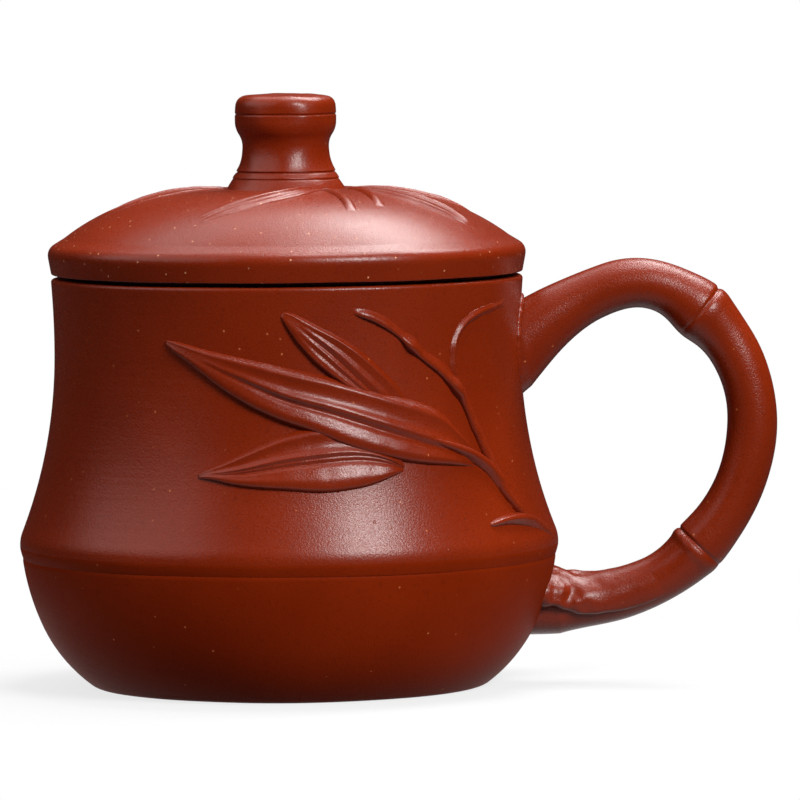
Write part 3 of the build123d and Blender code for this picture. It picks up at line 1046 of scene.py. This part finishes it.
@dataclass
class CaneHandle:
    """The handle: one bent cane with two joints, and the leaf sheath at its foot."""

    wall: CupBody
    route: tuple[Pair, ...] = (
        (29, 48.6), (35, 53.4), (47.5, 63.6), (60.2, 68.4), (73.8, 60.7),
        (79.6, 45.8), (76.2, 31.3), (67.1, 20.0), (56, 14.7), (40, 13.0),
    )
    thickness: float = 8.5
    width: float = 8.9
    root_flare: float = 2.0
    root_length: float = 13.0
    root_bend: float = 1.6
    foot_flare: float = 0.9
    foot_length: float = 3.2
    foot_shares: Pair = (0.8, 0.2)
    joints: tuple[CaneJoint, ...] = (
        CaneJoint(49.0, swell=0.75, inside=0.4, groove=0.5, facing=40.0, falling=2.0, collar=0.12),
        CaneJoint(93.9, swell=0.3, inside=0.35, groove=0.42, facing=120.0, falling=1.2, collar=0.3),
    )
    joint_length: float = 4.0
    inside_length: float = 6.0
    collar_way: float = 1.3
    collar_length: float = 0.9
    groove_width: float = 0.3
    rows: int = 600
    columns: int = 72
    root_cut: float = 38.6
    foot_cut: Pair = (42.2, 14.0)
    foot_cut_tilt: float = 18.0
    middle_height: float = 36.0
    bead_seat: Pair = (90.0, 58.4)
    bead_spread: Pair = (9.8, 7.9)
    bead_size: tuple[float, float, float] = (0.55, 0.55, 0.42)
    bead_steps: int = 20
    sheath_top: float = 180.0
    sheath_stations: tuple[tuple[float, float, float, float], ...] = (
        (27, 8.0, 9.8, -0.3), (22, 8.4, 9.8, 0.1), (17, 8.6, 9.5, 0.5), (13.5, 8.7, 8.9, 0.8),
        (11, 8.6, 8.8, 1.0), (9, 8.4, 8.1, 1.2), (7.5, 8.0, 7.4, 1.5), (6, 7.6, 6.9, 2.1),
        (4, 7.2, 6.6, 2.8), (1, 6.8, 6.4, 3.0),
    )
    cane_work: HandWork = HandWork(0.16, 9, 12.4)
    sheath_work: HandWork = HandWork(0.12, 5.0, 21.3)
    slip_work: HandWork = HandWork(0.62, 2.3, 22.6)
    slip_reach: Pair = (48.0, 56.0)
    bead_work: HandWork = HandWork(0.22, 1.3, 25.8)

    def __post_init__(self) -> None:
        """Fits the cane's line."""
        self.line = SmoothRun(chords(self.route), self.route)

    def _growth(self, along: float, turn: float) -> float:
        """Extra half thickness of the cane.

        Args:
            along: length along the cane from the upper root.
            turn: angle round the cane from the outside of its bend.

        Returns:
            The extra half thickness: flared ends, swollen and grooved joints.
        """
        def swelling(way: float, length: float) -> float:
            """A soft swelling's share at a way from its middle."""
            return math.exp(-((way / length) ** 2))

        outward = self._place(along, turn, 0).x
        inner = 0.5 - 0.5 * math.cos(turn)
        if along < self.line.length / 2:
            root_way = max(outward - self.wall.rim_radius, 0) / self.root_length
            grown = self.root_flare * max(1 - root_way, 0) ** self.root_bend
        else:
            foot_way = max(outward - self.wall.ridge_radius, 0) / self.foot_length
            all_round, on_top = self.foot_shares
            grown = self.foot_flare * math.exp(-foot_way) * (all_round + on_top * inner)
        for joint in self.joints:
            way = along - joint.along
            side = 0.5 + 0.5 * math.cos(turn - math.radians(joint.facing))
            grown += joint.swell * swelling(way, self.joint_length)
            grown += joint.inside * swelling(way, self.inside_length) * inner ** 2
            grown += joint.collar * swelling(way - self.collar_way, self.collar_length) * side
            grown -= joint.groove * swelling(way, self.groove_width) * side ** joint.falling
        return grown

    def _place(self, along: float, turn: float, grown: float) -> Vector:
        """Finds a point of the cane.

        Args:
            along: length along the cane from the upper root.
            turn: angle round the cane from the outside of its bend.
            grown: what is added to its plain half thickness.

        Returns:
            The point, in millimetres.
        """
        here = self.line.at(along)
        way = Vector(self.line.at(along + NEAR) - self.line.at(along - NEAR)).normalized()
        out = math.cos(turn) * (self.thickness / 2 + grown)
        front = math.sin(turn) * (self.width / 2 + grown)
        return Vector((here[0] - way.y * out, -front, here[1] + way.x * out))

    def spot(self, across: float, up: float, lift: float) -> Vector:
        """The point over a place on the cane.

        Args:
            across: length along the cane from the upper root.
            up: degrees round the cane from the outside of the bend, towards the front.
            lift: distance out from the cane.

        Returns:
            The point, in millimetres.
        """
        turn = math.radians(up)
        return self._place(across, turn, self._growth(across, turn) + lift)

    def measure(self, across: float, up: float) -> Pair:
        """Millimetres of cane for a millimetre along it and for a degree round it."""
        return 1.0, math.radians(self.thickness / 2)

    def cane(self) -> Mesh:
        """Wraps the cane round its line and trims it where it is luted to the cup.

        Returns:
            The closed mesh, in millimetres.
        """
        bm = bmesh.new()
        bmesh.ops.create_grid(bm, x_segments=self.rows, y_segments=self.columns, size=0.5)
        for vert in bm.verts:
            vert.co = self.spot((vert.co.x + 0.5) * self.line.length, vert.co.y * 360, 0)
        bmesh.ops.remove_doubles(bm, verts=bm.verts, dist=WELD)
        tilt = math.radians(self.foot_cut_tilt)
        for low, place, normal in (
            (False, (self.root_cut, 0, 0), (-1, 0, 0)),
            (True, (self.foot_cut[0], 0, self.foot_cut[1]), (-math.cos(tilt), 0, math.sin(tilt))),
        ):
            half = [v for v in bm.verts if (v.co.z < self.middle_height) == low]
            chosen = set(half)
            edges = [e for e in bm.edges if chosen.issuperset(e.verts)]
            faces = [f for f in bm.faces if chosen.issuperset(f.verts)]
            bmesh.ops.bisect_plane(
                bm, geom=half + edges + faces, plane_co=place, plane_no=normal, clear_outer=True
            )
        bmesh.ops.holes_fill(bm, edges=[e for e in bm.edges if e.is_boundary], sides=0)
        bmesh.ops.recalc_face_normals(bm, faces=bm.faces)
        return bm

    def sheath(self) -> Relief:
        """The leaf sheath saddled over the cane's foot.

        Returns:
            The sheath, its stations counted back from the cane's lower end.
        """
        end = self.line.length
        rows = tuple((end - back, self.sheath_top, *sizes) for back, *sizes in self.sheath_stations)
        return Relief(Section.SHEATH, 140, 96, rows)

    def slip_bead(self) -> Relief:
        """The bead of slip squeezed out where the upper root is luted to the wall.

        Returns:
            The bead, as a loop on the wall that closes behind the handle.
        """
        stations = []
        for step in range(self.bead_steps + 1):
            angle = 2 * math.pi * step / self.bead_steps
            across = self.bead_seat[0] + self.bead_spread[0] * math.cos(angle)
            up = self.bead_seat[1] + self.bead_spread[1] * math.sin(angle)
            stations.append((across, up, *self.bead_size))
        return Relief(Section.TWIG, 240, 14, tuple(stations))

    def build(self, dresser: Dresser) -> None:
        """Makes the cane, its sheath and the bead at its root.

        Args:
            dresser: makes the pieces.
        """
        bm = self.cane()
        hand_worked(bm, self.cane_work)
        dresser.piece("cane_handle", bm, ClaySlot.HANDLE, "cup", "handle")
        bm = self.sheath().mesh(self)
        hand_worked(bm, self.sheath_work)
        hand_worked(bm, self.slip_work, self.slip_reach)
        dresser.piece("cane_sheath", bm, ClaySlot.HANDLE, "cup", "handle_sheath")
        bm = self.slip_bead().mesh(self.wall)
        hand_worked(bm, self.bead_work)
        dresser.piece("slip_bead", bm, ClaySlot.HANDLE, "cup")


@dataclass
class Sprig:
    """A bamboo sprig laid on a surface, one relief for each CAD node."""

    skin: Skin
    parts: dict[str, Relief]
    slot: ClaySlot
    body: str
    twig_depth: float
    leaf_depth: float
    spread: float
    first_seed: float

    def build(self, dresser: Dresser) -> None:
        """Lays every part of the sprig.

        Args:
            dresser: makes the pieces.
        """
        for number, (node, relief) in enumerate(self.parts.items()):
            bm = relief.mesh(self.skin)
            depth = self.twig_depth if "twig" in node else self.leaf_depth
            hand_worked(bm, HandWork(depth, self.spread, self.first_seed + number))
            dresser.piece(f"sprig_{node}", bm, self.slot, self.body, node)


class WallSprig(Sprig):
    """The sprig on the cup's wall. Places are degrees round and millimetres of height."""

    def __init__(self, wall: CupBody) -> None:
        """Sets out the sprig on the wall."""
        super().__init__(wall, WALL_PARTS, ClaySlot.SPRIG, "cup", 0.12, 0.05, 2.4, 31.0)


class LidSprig(Sprig):
    """The small sprig on the lid. Places are millimetres from the axis, to the handle and to the back."""

    def __init__(self, lid: "LooseLid") -> None:
        """Sets out the sprig on the lid."""
        super().__init__(lid, LID_PARTS, ClaySlot.LID, "lid", 0.06, 0.06, 2.5, 51.0)


@dataclass
class LooseLid:
    """The lid: domed cap, locating flange and the knob shaped like a length of cane."""

    lid_radius: float = 41.15
    lid_taper: float = 0.8
    shadow_gap: float = 0.7
    gap_ease: float = 0.25
    seat_radius: float = 37.5
    edge: float = 4.3
    edge_ease: float = 1.6
    bevel_width: float = 3.0
    bevel_rise: float = 1.8
    bevel_ease: float = 0.35
    crown_radius: float = 13.7
    crown_height: float = 85.05
    thickness: float = 3.4
    hollow_ease: float = 0.6
    flange_inner: float = 33.4
    flange_round: float = 0.8
    flange_ease: float = 0.2
    knob_radius: float = 8.6
    knob_narrowing: float = 0.1
    knob_ease: float = 1.9
    knob_waist: float = 7.4
    knob_foot_radius: float = 10.4
    knob_foot_height: float = 2.9
    knob_sink: float = 0.4
    knob_cap: float = 3.5
    knob_dome: float = 0.45
    knob_extra: float = 0.5
    cap_foot: float = 96.4
    waist_height: float = 92.2
    ring_depth: float = 0.2
    ring_width: float = 0.5
    ring_ease: float = 0.1
    groove_ease: float = 0.05
    foot_lines: int = 2
    foot_spread: float = 0.6
    foot_drop: float = 1.2
    foot_lip: float = 0.12
    foot_ease: float = 0.15
    dome_work: HandWork = HandWork(0.09, 15, 41.5)
    knob_work: HandWork = HandWork(0.22, 4, 44.0)
    knob_finish: ClayFinish = ClayFinish("burnished_knob_clay", tool_marks=0.06)

    def __post_init__(self) -> None:
        """Takes the main sizes from the frame."""
        low, _ = node_box("lid_cap")
        flange_low, flange_high = node_box("lid_flange")
        _, knob_high = node_box("lid_knob")
        self.seat_height = low.z
        self.gap_height = self.seat_height + self.shadow_gap
        self.flange_foot = flange_low.z
        self.flange_outer = flange_high.x
        self.knob_top = knob_high.z + self.knob_extra
        self.edge_height = self.gap_height + self.edge
        self.dome_foot = self.edge_height + self.bevel_rise
        self.dome_radius = self.lid_radius - self.bevel_width
        run, fall = self.dome_radius - self.crown_radius, self.crown_height - self.dome_foot
        self.dome_arc = (run * run + fall * fall) / (2 * fall)

    def spot(self, across: float, up: float, lift: float) -> Vector:
        """The point over a place on the lid.

        Args:
            across: distance from the axis towards the handle.
            up: distance from the axis towards the back.
            lift: distance out from the dome.

        Returns:
            The point, in millimetres.
        """
        radius = max(math.hypot(across, up), WELD)
        run = max(radius - self.crown_radius, 0)
        fall = math.sqrt(self.dome_arc ** 2 - run * run)
        lean, rise = run / self.dome_arc, fall / self.dome_arc
        share = 1 + lift * lean / radius
        height = self.crown_height - self.dome_arc + fall + lift * rise
        return Vector((across * share, up * share, height))

    def measure(self, across: float, up: float) -> Pair:
        """Millimetres of dome for a millimetre of plan, both ways."""
        return 1.0, 1.0

    def knob(self) -> TurnedOutline:
        """Draws the knob.

        Returns:
            Its half outline, from the axis at the top to the axis at the foot.
        """
        low_ring = self.crown_height + self.knob_foot_height
        high_ring = self.knob_top - self.knob_cap
        groove = self.knob_radius - self.ring_depth
        narrow = self.knob_radius - self.knob_narrowing
        half_line = self.ring_width / 2
        middle = ((self.knob_radius + self.knob_waist) / 2, (self.cap_foot + self.waist_height) / 2)
        knob = TurnedOutline(0, self.knob_top)
        knob.arc(narrow, self.knob_top - self.knob_dome, leaving=OUT, ease=self.knob_ease)
        knob.line(self.knob_radius, high_ring + half_line, ease=self.ring_ease)
        knob.line(groove, high_ring, ease=self.groove_ease, steps=2)
        knob.line(self.knob_radius, high_ring - half_line, ease=self.ring_ease, steps=2)
        knob.line(self.knob_radius, self.cap_foot, steps=4)
        knob.arc(*middle, leaving=DOWN)
        knob.arc(self.knob_waist, self.waist_height, arriving=DOWN)
        knob.arc(narrow, low_ring + half_line, leaving=DOWN, ease=self.ring_ease)
        radius, height = narrow, low_ring
        for line in range(self.foot_lines):
            depth = self.ring_depth / (1 + line)
            knob.line(radius - depth, height, ease=self.groove_ease, steps=2)
            knob.line(radius + self.foot_lip, height - half_line, ease=self.foot_ease, steps=2)
            radius, height = radius + self.foot_spread, height - self.foot_drop
            knob.line(radius, height + half_line, ease=self.foot_ease, steps=3)
        knob.line(self.knob_foot_radius, self.crown_height - self.knob_sink, steps=3)
        return knob.line(0, self.crown_height - self.knob_sink, steps=4)

    def cap(self) -> TurnedOutline:
        """Draws the cap, over its dome and back through its hollow.

        Returns:
            Its half outline, from the axis at the crown to the axis in the hollow.
        """
        inner_crown = self.crown_height - self.thickness
        inner_arc = self.dome_arc - self.thickness
        inner_run = self.flange_inner - self.crown_radius
        hollow = inner_crown - inner_arc + math.sqrt(inner_arc ** 2 - inner_run ** 2)
        cap = TurnedOutline(0, self.crown_height)
        cap.line(self.crown_radius, self.crown_height, steps=12)
        cap.arc(self.dome_radius, self.dome_foot, leaving=OUT, ease=self.bevel_ease, steps=48)
        cap.line(self.lid_radius, self.edge_height, ease=self.edge_ease)
        cap.line(self.lid_radius - self.lid_taper, self.gap_height, ease=self.gap_ease)
        cap.line(self.seat_radius, self.gap_height, steps=2)
        cap.line(self.seat_radius, self.seat_height, steps=2)
        cap.line(self.flange_inner, self.seat_height, steps=4)
        cap.line(self.flange_inner, hollow, ease=self.hollow_ease)
        cap.arc(self.crown_radius, inner_crown, arriving=IN, steps=24)
        return cap.line(0, inner_crown, steps=12)

    def flange(self) -> TurnedOutline:
        """Draws the flange that hangs in the mouth.

        Returns:
            Its outline, a ring under the seat.
        """
        flange = TurnedOutline(self.flange_inner, self.seat_height)
        flange.line(self.flange_outer, self.seat_height, ease=self.flange_ease, steps=3)
        flange.line(self.flange_outer, self.flange_foot, ease=self.flange_round)
        flange.line(self.flange_inner, self.flange_foot, ease=self.flange_round, steps=4)
        return flange.line(self.flange_inner, self.seat_height, ease=self.flange_ease)

    def build(self, dresser: Dresser) -> None:
        """Turns the cap, the knob and the flange.

        Args:
            dresser: makes the pieces.
        """
        bm = turned(self.cap(), False)
        hand_worked(bm, self.dome_work)
        dresser.piece("lid_dome", bm, ClaySlot.LID, "lid", "lid_cap")
        bm = turned(self.knob(), False)
        hand_worked(bm, self.knob_work)
        dresser.piece("lid_cane_knob", bm, ClaySlot.LID, "lid", "lid_knob", finish=self.knob_finish)
        bm = turned(self.flange(), True)
        dresser.piece("lid_flange_ring", bm, ClaySlot.LID, "lid_seat", "lid_flange")


class LampSetting(NamedTuple):
    """A soft box aimed at the cup: where it stands, its width and height, and its power."""

    turn: float
    climb: float
    distance: float
    width: float
    height: float
    power: float


class Lamp(Enum):
    """The studio's lamps, in degrees, metres and watts. Turn runs from the front to the right."""

    KEY = LampSetting(36, 32, 1.2, 0.46, 0.4, 18.5)
    LEFT_FILL = LampSetting(-73, 36, 1.3, 1.5, 0.95, 8.2)
    TOP = LampSetting(100, 82, 1.3, 0.45, 0.45, 9.0)
    BACK_TOP = LampSetting(142, 57, 1.2, 0.72, 0.36, 13.0)
    BACK_LEFT = LampSetting(-158, 58, 1.2, 0.95, 0.4, 3.2)


@dataclass
class Studio:
    """Pale floor, soft lamps, white surround and the camera. Aim and camera are in millimetres."""

    aim: tuple[float, float, float] = (19.2, 0.0, 48.6)
    camera_place: tuple[float, float, float] = (19.2, -1270.0, 131.0)
    lens: float = 334.0
    sensor_width: float = 36.0
    clip: Pair = (0.01, 50.0)
    roll: float = -0.47
    ambient: float = 0.8
    floor_size: float = 1.6
    floor_drop: float = 0.05
    floor_tone: float = 0.13
    floor_lift: float = 0.76
    fade: Pair = (0.045, 0.13)
    drape_radius: float = 1.75
    drape_height: float = 2.6
    drape_drop: float = 0.02
    drape_tone: float = 0.03

    def surround(self) -> None:
        """White where it is seen, a plain grey light elsewhere."""
        world = bpy.data.worlds.new("studio_surround")
        wiring = Wiring.bare(world)
        plain = wiring.add("Background", {"Color": WHITE, "Strength": self.ambient})
        white = wiring.add("Background", {"Color": WHITE})
        feeds = {"Fac": wiring.seen(), 1: plain.outputs[0], 2: white.outputs[0]}
        wiring.add("OutputWorld", {"Surface": wiring.add("MixShader", feeds).outputs[0]})
        bpy.context.scene.world = world

    def floor(self) -> None:
        """A pale floor that fades into the surround and keeps the cup's shadow."""
        material = bpy.data.materials.new("pale_floor")
        wiring = Wiring.bare(material)
        matt = wiring.add("BsdfDiffuse", {"Color": (*[self.floor_tone] * 3, 1)})
        lift = wiring.joined(wiring.seen(), self.floor_lift, "MULTIPLY")
        glow = wiring.add("Emission", {"Strength": lift})
        both = wiring.add("AddShader", {0: matt.outputs[0], 1: glow.outputs[0]})
        place = wiring.add("TexCoord", {}).outputs["Object"]
        away = wiring.add("VectorMath", {0: place}, operation="LENGTH").outputs["Value"]
        clear = wiring.add("BsdfTransparent", {})
        feeds = {"Fac": wiring.span(away, self.fade, FULL), 1: both.outputs[0], 2: clear.outputs[0]}
        wiring.add("OutputMaterial", {"Surface": wiring.add("MixShader", feeds).outputs[0]})
        bm = bmesh.new()
        bmesh.ops.create_circle(bm, cap_ends=True, segments=96, radius=self.floor_size)
        bmesh.ops.translate(bm, vec=(0, 0, -self.floor_drop * MM), verts=bm.verts)
        obj = as_object("studio_floor", bm, material)

    def drape(self) -> None:
        """Dark cloth hung round the set, out of the camera's sight, that keeps the clay's edges dark."""
        material = bpy.data.materials.new("dark_cloth")
        wiring = Wiring.bare(material)
        matt = wiring.add("BsdfDiffuse", {"Color": (*[self.drape_tone] * 3, 1)})
        wiring.add("OutputMaterial", {"Surface": matt.outputs[0]})
        bm = bmesh.new()
        bmesh.ops.create_cone(
            bm,
            segments=64,
            radius1=self.drape_radius,
            radius2=self.drape_radius,
            depth=self.drape_height,
            cap_ends=True,
        )
        bmesh.ops.translate(bm, vec=(0, 0, self.drape_height / 2 - self.drape_drop), verts=bm.verts)
        top = self.drape_height - 2 * self.drape_drop
        cover = [face for face in bm.faces if face.calc_center_median().z > top]
        bmesh.ops.delete(bm, geom=cover, context="FACES_ONLY")
        obj = as_object("dark_drape", bm, material)
        obj.visible_camera = False

    def lamps(self) -> None:
        """Sets up the soft lamps, each turned to the cup."""
        target = Vector(self.aim) * MM
        for lamp in Lamp:
            setting: LampSetting = lamp.value
            turn, climb = math.radians(setting.turn), math.radians(setting.climb)
            level = math.cos(climb)
            away = Vector((math.sin(turn) * level, -math.cos(turn) * level, math.sin(climb)))
            light = bpy.data.lights.new(lamp.name.lower(), "AREA")
            light.shape = "RECTANGLE"
            light.size, light.size_y = setting.width, setting.height
            light.energy = setting.power
            obj = bpy.data.objects.new(lamp.name.lower(), light)
            obj.location = target + away * setting.distance
            obj.rotation_mode = "QUATERNION"
            obj.rotation_quaternion = (-away).to_track_quat("-Z", "Y")
            bpy.context.scene.collection.objects.link(obj)

    def camera(self) -> None:
        """Stands the camera at the photograph's angle."""
        data = bpy.data.cameras.new("studio_camera")
        data.lens = self.lens
        data.sensor_width = self.sensor_width
        data.clip_start, data.clip_end = self.clip
        obj = bpy.data.objects.new("studio_camera", data)
        place, target = Vector(self.camera_place) * MM, Vector(self.aim) * MM
        obj.location = place
        obj.rotation_mode = "QUATERNION"
        level = (target - place).to_track_quat("-Z", "Y")
        obj.rotation_quaternion = level @ Quaternion((0, 0, 1), math.radians(self.roll))
        bpy.context.scene.collection.objects.link(obj)
        bpy.context.scene.camera = obj

    def build(self) -> None:
        """Sets up the whole studio."""
        bpy.context.scene.view_settings.view_transform = "Standard"
        self.surround()
        self.floor()
        self.drape()
        self.lamps()
        self.camera()


def main() -> None:
    """Builds the studio and every sub-assembly in order."""
    logging.basicConfig(level=logging.INFO, format="%(message)s")
    Studio().build()
    lid_finish = ClayFinish(
        "burnished_lid_clay",
        speck=(226, 160, 120),
        tool_marks=0.06,
        speck_size=1.6,
        speck_rarity=0.3,
        speck_radius=0.13,
    )
    dresser = Dresser(
        {
            ClaySlot.BODY: ClayFinish("burnished_body_clay"),
            ClaySlot.HANDLE: ClayFinish("rolled_handle_clay", grain=0.4, tool_marks=0.03),
            ClaySlot.SPRIG: ClayFinish("pressed_sprig_clay", gloss=0.3, tool_marks=0.0),
            ClaySlot.LID: lid_finish,
        }
    )
    cup = CupBody()
    lid = LooseLid()
    for assembly in (cup, CaneHandle(cup), WallSprig(cup), lid, LidSprig(lid)):
        assembly.build(dresser)
        log.info("%s built", type(assembly).__name__)


if __name__ == "__main__":
    main()
